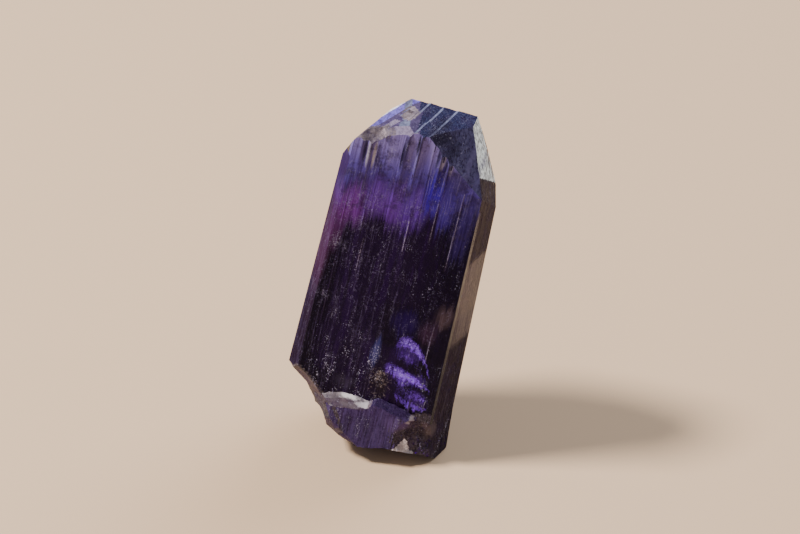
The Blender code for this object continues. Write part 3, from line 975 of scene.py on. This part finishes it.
# Pale and dark strips that run down from the edge of the tip, the same way.
STRIPS = (
    (4.1, 14.7, 1.2, 1.5, colour(0.045, 0.032, 0.130), 0.85),
    (2.5, 14.2, 0.9, 1.4, colour(0.040, 0.024, 0.240), 0.70),
    (-4.6, 14.9, 0.16, 1.9, colour(0.022, 0.018, 0.060), 0.90),
    (-4.25, 15.0, 0.20, 1.7, colour(0.420, 0.390, 0.500), 0.90),
    (-3.75, 14.8, 0.20, 1.5, colour(0.440, 0.400, 0.480), 0.90),
    (-3.4, 14.9, 0.16, 1.9, colour(0.040, 0.030, 0.090), 0.80),
    (-1.3, 15.8, 0.20, 1.9, colour(0.014, 0.010, 0.034), 1.00),
    (-0.2, 17.0, 0.22, 1.3, colour(0.006, 0.005, 0.014), 1.00),
    (1.6, 16.2, 0.16, 1.3, colour(0.020, 0.016, 0.060), 0.90),
    (2.05, 16.0, 0.18, 1.1, colour(0.340, 0.310, 0.460), 0.90),
    (2.45, 15.9, 0.14, 1.2, colour(0.024, 0.020, 0.090), 0.90),
    (2.9, 15.8, 0.19, 1.1, colour(0.320, 0.280, 0.480), 0.90),
)

# Light and dark patches on the tip faces, the ledge, the block and the corner, the same way.
PATCHES = (
    (1.3, 17.8, 1.2, 0.8, colour(0.016, 0.014, 0.028), 0.85),
    (2.6, 17.0, 0.8, 0.9, colour(0.016, 0.014, 0.028), 0.60),
    (4.3, 15.9, 0.30, 1.6, colour(0.120, 0.105, 0.240), 0.50),
    (5.2, 14.8, 0.25, 1.5, colour(0.100, 0.085, 0.230), 0.50),
    (-0.9, -10.65, 0.9, 0.28, colour(0.700, 0.660, 0.740), 0.90),
    (0.4, -10.95, 0.7, 0.20, colour(0.600, 0.560, 0.640), 0.60),
    (-2.3, -11.1, 0.5, 0.40, colour(0.090, 0.075, 0.095), 0.80),
    (-0.6, -11.30, 1.3, 0.22, colour(0.120, 0.100, 0.125), 0.75),
    (3.7, -12.0, 1.3, 1.0, colour(0.105, 0.068, 0.200), 0.75),
    (-0.6, -13.2, 0.5, 1.3, colour(0.030, 0.020, 0.055), 0.65),
    (1.3, -13.5, 0.4, 1.5, colour(0.030, 0.020, 0.055), 0.55),
    (4.8, -11.75, 0.30, 0.30, colour(0.400, 0.370, 0.440), 0.80),
    (5.1, -11.1, 0.35, 0.40, colour(0.250, 0.210, 0.220), 0.70),
    (7.0, -12.4, 0.5, 1.1, colour(0.130, 0.105, 0.110), 0.55),
)
# Torn flashes: reflections of light from cracks inside, painted on the surface.  Three points of each,
# across and along, then half width and strength.
PAINTED_FLASHES = (
    ((2.2, -3.45), (3.9, -3.55), (5.55, -6.1), 0.50, 1.0),
    ((1.65, -6.4), (3.76, -6.85), (5.90, -7.75), 0.48, 1.0),
    ((3.0, -9.1), (4.4, -9.9), (6.1, -9.8), 0.34, 0.5),
    ((2.7, -7.8), (4.2, -8.5), (6.0, -8.9), 0.85, 0.15),
    ((2.5, -4.9), (3.9, -5.2), (5.5, -6.8), 0.60, 0.09),
)
RUBBLE_PLACE = (1.5, -8.3)          # a rough patch with pale flecks
RUBBLE_HALF = (1.5, 2.3)

VOLUME_COLOUR = colour(0.50, 0.05, 0.80)
VOLUME_DENSITY = 280.0
CRYSTAL_IOR = 1.69
GLINT = colour(0.05, 0.035, 0.20)
# The haze under the tip: partly frost and dust, partly a painted sheen of reflected light.
HAZE_SHEEN_HIGH = colour(0.200, 0.160, 0.450)
HAZE_SHEEN_LOW = colour(0.082, 0.056, 0.300)
# Dark tone laid at random, and painted shade in the front face's grooves.
DARK_TONE_AND_GROOVE_SHADE = colour(0.030, 0.020, 0.060)
WISP_PALE = colour(0.20, 0.17, 0.32)
VEIL_DARK = colour(0.066, 0.046, 0.120)
# Pale specks, and the colour of painted highlights on the flashes and the faces.
SPECK_AND_HIGHLIGHT_PALE = colour(0.56, 0.55, 0.78)
LINE_PALE = colour(0.30, 0.26, 0.42)
# Colour of the painted flashes of reflected light.
PAINTED_FLASH_VIOLET = colour(0.24, 0.085, 0.95)
RUBBLE_PALE = colour(0.30, 0.25, 0.24)
RELIEF_HEIGHT = 0.00008
RELIEF_STRENGTH = 0.8

# Noises on the crystal: how much each is squeezed across, deep and along, then its scale,
# detail and roughness.  Those with a small last squeeze are drawn out along the crystal.
NOISES = {
    "streak": ((1.6, 1.6, 0.10), 1.0, 4.0, 0.60),
    "lines": ((7.0, 7.0, 0.25), 1.0, 3.0, 0.60),
    "furrow": ((5.0, 5.0, 0.45), 1.0, 4.0, 0.65),
    "chain": ((3.0, 3.0, 0.30), 1.0, 2.0, 0.50),
    "blotch": ((1.0, 1.0, 1.0), 0.9, 4.0, 0.60),
    "crumb": ((1.0, 1.0, 1.0), 4.2, 4.0, 0.72),
    "torn": ((1.2, 1.0, 1.8), 2.4, 6.0, 0.80),
    "fleck": ((1.0, 1.0, 0.8), 8.5, 2.0, 0.70),
    "clump": ((1.2, 1.0, 0.50), 1.1, 4.0, 0.70),
    "wisp": ((1.1, 1.0, 0.32), 1.25, 5.0, 0.72),
    "squiggle": ((1.0, 1.0, 0.65), 0.85, 5.0, 0.62),
}
# Noises that are taken about their middle, so that they shift a place both ways.
CENTRED = ("streak", "torn", "wisp", "squiggle")
THREAD_NOISE = (2.6, 4.0, 0.65)
FACE_MARKS = ("frost", "drawn", "front", "bevel_side", "groove", "score")


class Patterns:
    """The places, noises and face marks that all layers of the crystal's material share."""

    def __init__(self, recipe):
        self.across, self.deep, self.along = recipe.crystal_place()
        for name, (squeeze, *kind) in NOISES.items():
            place = [way * share for way, share in zip((self.across, self.deep, self.along), squeeze)]
            noise = recipe.noise(recipe.place(*place), *kind)
            setattr(self, name, noise - 0.5 if name in CENTRED else noise)
        for name in FACE_MARKS:
            setattr(self, name, recipe.attribute(name))
        slant = recipe.place(self.across * 0.9, self.deep, self.along * 2.2 + self.across * 0.9)
        self.thread = (recipe.noise(slant, *THREAD_NOISE) - 0.5).size().rise(0.055, 0.0)
        # high: where the haze, with its painted sheen, lies under the tip.
        upward = self.along + self.streak * 3.5 + (self.blotch - 0.5) * 2.0
        self.high = (upward + self.across.rise(-3.5, -5.5) * 1.5).rise(9.5, 14.5)
        self.calm = self.across.rise(3.2, 1.0).most(0.3)


def ovals(table, across, along, streak):
    """Strength and colour of each soft oval, which streak bends and draws out along."""
    for u, w, half, length, tone, strength in table:
        bend = streak * (0.6 + 0.5 * half)
        off = ((across - u + bend) / half) ** 2 + ((along - w + streak * 1.4 * length) / length) ** 2
        yield off.rise(1.25, 0.0) * strength, tone


def flashes(across, along, torn):
    """Strength of the painted flashes: bands round a parabola through three points, with torn edges."""
    total = None
    for (u0, w0), (u1, w1), (u2, w2), half, strength in PAINTED_FLASHES:
        slope = (w1 - w0) / (u1 - u0)
        bend = ((w2 - w1) / (u2 - u1) - slope) / (u2 - u0)
        line = w0 + slope * (across - u0) + bend * (across - u0) * (across - u1)
        width = half * (1.25 - 0.8 * across.rise(u0 + 0.8, u2))
        band = ((along - line + torn).size() / width).rise(1.2, 0.1)
        band = band * across.rise(u0 - 0.4, u0 + 0.5) * across.rise(u2 + 0.3, u2 - 0.4) * strength
        total = band if total is None else total.most(band)
    return total


def sheen_and_glow_coat(recipe, p):
    """The haze under the tip, partly frost and dust and partly a painted sheen, with the painted glows
    in it and below it, and the strips of the edge.
    """
    mauve = (p.along - p.across * 0.12 + p.streak * 3.0).rise(13.4, 16.8)
    glows = Coat(recipe, BODY_DARK_AND_SHADE, p.front * 0.0)
    for near, tone in ovals(PAINTED_GLOWS, p.across, p.along, p.streak + 0.75 * (p.lines - 0.5)):
        glows.lay(near, tone)
    painted_glow = (glows.share * (0.72 + 1.3 * (p.lines - 0.35).most(0.0))).least(1.0)
    share = (p.high * (0.45 + 0.5 * p.lines + 0.3 * p.blotch)).most(painted_glow * 1.1)
    coat = Coat(recipe, recipe.blend(mauve, HAZE_SHEEN_LOW, HAZE_SHEEN_HIGH), share)
    coat.tint((1.0 - p.high).most(painted_glow * (1.0 - 0.8 * mauve)), glows.hue)
    for near, tone in ovals(STRIPS, p.across, p.along, p.streak):
        coat.lay(near, tone)
    return coat, painted_glow


def lay_lines(coat, painted_glow, p):
    """The veil of fine lines in the dark body, pale lines, clouds, painted shade in the grooves, and
    scores.
    """
    veil = (p.lines + 0.5 * (p.crumb - 0.5)).rise(0.42, 0.80) * (1.0 - p.high) * (1.0 - painted_glow)
    coat.lay(veil * (0.04 + 0.85 * p.clump * p.across.rise(2.4, 0.4)), VEIL_DARK, 4.0)
    cloud = (p.blotch + 0.5 * (p.crumb - 0.5)).rise(0.50, 0.36) * p.along.rise(7.0, 9.0)
    coat.tint(cloud * 0.55, DARK_TONE_AND_GROOVE_SHADE)
    coat.lay(p.lines.rise(0.56, 0.76) * (0.03 * p.calm + 0.20 * p.high), LINE_PALE, 2.0)
    # Painted shade in the grooves.
    coat.tint(p.groove * 0.85, DARK_TONE_AND_GROOVE_SHADE)
    score = p.score * p.fleck.rise(0.38, 0.54)
    coat.tint(score, LINE_PALE)
    coat.share = coat.share.most(score * 0.75).most(p.groove * 0.8)


def lay_painted_flashes(coat, p):
    """The painted flashes of reflected light: bright threads and crumbs in the bands, with gaps and
    furrows, and a painted highlight on the brightest.
    """
    flash = flashes(p.across, p.along, p.torn * 1.4 + (p.furrow - 0.5) * 1.5)
    glint = (flash * (0.34 + 1.0 * p.thread + 1.8 * (p.crumb - 0.52).most(0.0))).least(1.0)
    glint = glint * (p.crumb + 0.6 * p.torn).rise(0.36, 0.50) * p.furrow.rise(0.30, 0.50).most(0.35)
    coat.tint(glint.rise(0.0, 0.15), PAINTED_FLASH_VIOLET)
    # A painted highlight on the brightest parts of the flashes.
    coat.tint(glint.rise(0.62, 1.0) * 0.45, SPECK_AND_HIGHLIGHT_PALE)
    coat.share = coat.share.most(glint)


def lay_wisps(coat, p):
    """Broken pale threads, and the rubble: an oval patch of pale crumbs with a torn edge."""
    wisp = p.wisp.size().rise(0.010, 0.0) * (p.crumb + 0.5 * (p.clump - 0.5)).rise(0.46, 0.62) * 0.55
    thin = p.squiggle.size().rise(0.013, 0.0) * (p.crumb + 0.4 * (p.clump - 0.5)).rise(0.44, 0.60)
    thin = thin * 0.45 * p.calm * p.along.rise(-4.0, 0.0) * p.along.rise(12.0, 9.0)
    coat.lay(wisp.most(thin), WISP_PALE, 1.8)
    sideways, up = ((way - place + p.torn) / half
                    for way, place, half in zip((p.across, p.along), RUBBLE_PLACE, RUBBLE_HALF))
    rubble = (sideways ** 2 + up ** 2).rise(1.2, 0.2)
    rubble = rubble * (p.crumb + 0.3 * (p.clump - 0.5)).rise(0.50, 0.66)
    coat.tint(rubble, RUBBLE_PALE)
    coat.share = coat.share.most(rubble * 0.7)


def frosted_faces(recipe, p):
    """The coat of the other faces: each face's own hue and frost, darker in its hollows, and lighter
    with painted highlights.
    """
    pattern = p.crumb + p.drawn * (p.furrow - p.crumb)
    matt = (p.frost * (0.75 + 0.5 * pattern)).least(1.0)
    coat = Coat(recipe, recipe.attribute_colour("hue"), matt)
    coat.tint(pattern.rise(0.54, 0.38) * (0.32 + 0.38 * p.drawn), BODY_STREAK)
    coat.tint((p.blotch + 0.6 * p.streak).rise(0.54, 0.36) * 0.38, DARK_TONE_AND_GROOVE_SHADE)
    # Painted highlights on the faces' crumbs and furrows, none on the left bevel.
    coat.tint(pattern.rise(0.56, 0.78) * 0.12 * (1.0 - p.bevel_side), SPECK_AND_HIGHLIGHT_PALE)
    for near, tone in ovals(PATCHES, p.across, p.along, p.streak + p.torn):
        coat.tint(near, tone)
    return coat


def speck_share(p):
    """Small pale specks in clumps, and a faint painted sparkle of highlights between them.  They are few
    over the haze and the left bevel, and thick at the foot."""
    low_left = p.along.rise(-2.0, -8.5) * p.across.rise(3.0, 0.5) * p.across.rise(-6.5, -2.0)
    clumps = 0.80 * (p.clump - 0.5) + 0.045 * low_left
    speck = (p.fleck + 0.20 * (p.chain - 0.5) + clumps).rise(0.715, 0.79)
    sparkle = (p.fleck + 0.7 * (p.clump - 0.5) + 0.15 * (p.lines - 0.5)).rise(0.57, 0.74)
    speck = (speck * (0.50 + 0.30 * low_left)).most(sparkle * 0.20 * p.calm)
    on_front = (0.10 + 0.90 * p.along.rise(10.5, 6.5)) * p.front
    on_foot = 0.4 + 0.6 * p.along.rise(-10.0, -12.0) * p.across.rise(2.0, 4.2)
    return speck * (1.0 - 0.75 * p.bevel_side) * on_front.most(on_foot)


def tanzanite_material():
    """Clear violet-blue crystal.  Frost, haze with a painted sheen, painted glows and flashes of light,
    specks and painted highlights lie over the clear crystal as shares of a matt layer, each with its own
    colour."""
    recipe = Recipe("tanzanite_crystal")
    p = Patterns(recipe)
    coat, painted_glow = sheen_and_glow_coat(recipe, p)
    lay_lines(coat, painted_glow, p)
    lay_painted_flashes(coat, p)
    lay_wisps(coat, p)
    faces = frosted_faces(recipe, p)
    coat.share = faces.share + p.front * (coat.share - faces.share)
    coat.hue = recipe.blend(p.front, faces.hue, coat.hue)
    coat.tint(p.bevel_side * (0.8 - 0.6 * painted_glow), faces.hue)
    coat.share = coat.share.most(p.bevel_side * 0.94)
    coat.lay(speck_share(p), SPECK_AND_HIGHLIGHT_PALE, 1.6)

    relief = recipe.node("ShaderNodeBump", {}, {
        "Height": p.lines * 0.6 + p.furrow * 0.4 + p.crumb * 0.3, "Distance": RELIEF_HEIGHT,
        "Strength": RELIEF_STRENGTH}).outputs[0]
    clear_tint = recipe.blend(p.streak.rise(0.0, 0.14), BODY_DARK_AND_SHADE, BODY_STREAK)
    clear_tint = recipe.blend((1.0 - p.front).most(p.high * 0.5), clear_tint, BODY_CLEAR)
    gloss = 0.08 + 0.10 * p.lines + 0.35 * p.high * p.front + 0.15 * p.frost
    clear = recipe.shader({"Base Color": clear_tint, "Roughness": gloss, "IOR": CRYSTAL_IOR,
                           "Specular Tint": GLINT, "Transmission Weight": 1.0, "Normal": relief})
    frosted = recipe.shader({"Base Color": coat.hue, "Roughness": 0.6, "Specular IOR Level": 0.0,
                             "Normal": relief})
    surface = recipe.node("ShaderNodeMixShader", {}, {0: coat.share, 1: clear, 2: frosted})
    volume = recipe.node("ShaderNodeVolumeAbsorption", {}, {"Color": VOLUME_COLOUR,
                                                           "Density": VOLUME_DENSITY})
    recipe.tree.links.new(surface.outputs[0], recipe.output.inputs["Surface"])
    recipe.tree.links.new(volume.outputs[0], recipe.output.inputs["Volume"])
    return recipe.material


SHARP_FROM = radians(11)


def finish_crystal():
    body = make_crystal()
    mark_faces(body)
    mesh = body.data
    mesh.materials.clear()
    mesh.materials.append(tanzanite_material())
    mesh.polygons.foreach_set("use_smooth", np.ones(len(mesh.polygons), bool))
    mesh.set_sharp_from_angle(angle=SHARP_FROM)
    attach(body, "root")
    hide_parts("tanzanite_crystal")


FLOOR_COLOUR = colour(0.56, 0.40, 0.27)
FLOOR_HALF = 1.5
FLOOR_HEIGHT = -0.00002


def make_floor():
    """A wide plain floor just under the resting plane."""
    mesh = bpy.data.meshes.new("floor")
    square = ((-1.0, -1.0), (1.0, -1.0), (1.0, 1.0), (-1.0, 1.0))
    mesh.from_pydata([(x * FLOOR_HALF, y * FLOOR_HALF, FLOOR_HEIGHT) for x, y in square], [],
                     [(0, 1, 2, 3)])
    floor = bpy.data.objects.new("floor", mesh)
    bpy.context.scene.collection.objects.link(floor)
    recipe = Recipe("pale_floor")
    shader = recipe.shader({"Base Color": FLOOR_COLOUR, "Roughness": 0.9, "Specular IOR Level": 0.2})
    recipe.tree.links.new(shader, recipe.output.inputs["Surface"])
    mesh.materials.append(recipe.material)


# The view: how far round and how far above the crystal the camera stands.
VIEW_ROUND = radians(11.2)
VIEW_ABOVE = radians(35.0)
LENS = 100.0
SENSOR = 36.0
MM_PER_PIXEL = 0.090
FRAME_WIDTH = 800
MIDDLE_AT = (-8, 13)                # the crystal's middle from the frame's middle, in pixels


def view_axes():
    """The camera's right, up and back directions."""
    level = cos(VIEW_ABOVE)
    back = np.array((sin(VIEW_ROUND) * level, -cos(VIEW_ROUND) * level, sin(VIEW_ABOVE)))
    right = np.array((cos(VIEW_ROUND), sin(VIEW_ROUND), 0.0))
    return right, np.cross(back, right), back


def make_camera():
    right, up, back = view_axes()
    distance = MM_PER_PIXEL * FRAME_WIDTH * LENS / SENSOR
    shift = MM_PER_PIXEL * MIDDLE_AT[0] * right - MM_PER_PIXEL * MIDDLE_AT[1] * up
    place = (PLACE + back * distance - shift) * MM
    data = bpy.data.cameras.new("camera")
    data.lens = LENS
    data.sensor_width = SENSOR
    data.clip_start = 0.001
    camera = bpy.data.objects.new("camera", data)
    turn = Matrix(np.stack((right, up, back), axis=1).tolist()).to_4x4()
    camera.matrix_world = Matrix.Translation(Vector(place)) @ turn
    bpy.context.scene.collection.objects.link(camera)
    bpy.context.scene.camera = camera


LIGHT_AIM = (0.0, 0.0, 0.015)
# Round lights: place, size, power and colour.
LIGHTS = {
    "key": ((-0.30, -0.09, 0.50), 0.11, 7.0, (1.0, 0.94, 0.86)),
    "sky": ((0.25, 0.35, 0.45), 0.45, 3.0, (0.92, 0.95, 1.0)),
}
ROOM_COLOUR = colour(0.95, 0.96, 1.0)
ROOM_STRENGTH = 0.35


def make_lights():
    for name, (place, size, power, hue) in LIGHTS.items():
        data = bpy.data.lights.new(name, "AREA")
        data.shape = "DISK"
        data.size = size
        data.energy = power
        data.color = hue
        light = bpy.data.objects.new(name, data)
        turn = (Vector(LIGHT_AIM) - Vector(place)).to_track_quat("-Z", "Y").to_matrix().to_4x4()
        light.matrix_world = Matrix.Translation(Vector(place)) @ turn
        bpy.context.scene.collection.objects.link(light)
    world = bpy.data.worlds.new("studio")
    world.use_nodes = True
    background = world.node_tree.nodes["Background"]
    background.inputs["Color"].default_value = ROOM_COLOUR
    background.inputs["Strength"].default_value = ROOM_STRENGTH
    bpy.context.scene.world = world


finish_crystal()
make_floor()
make_camera()
make_lights()
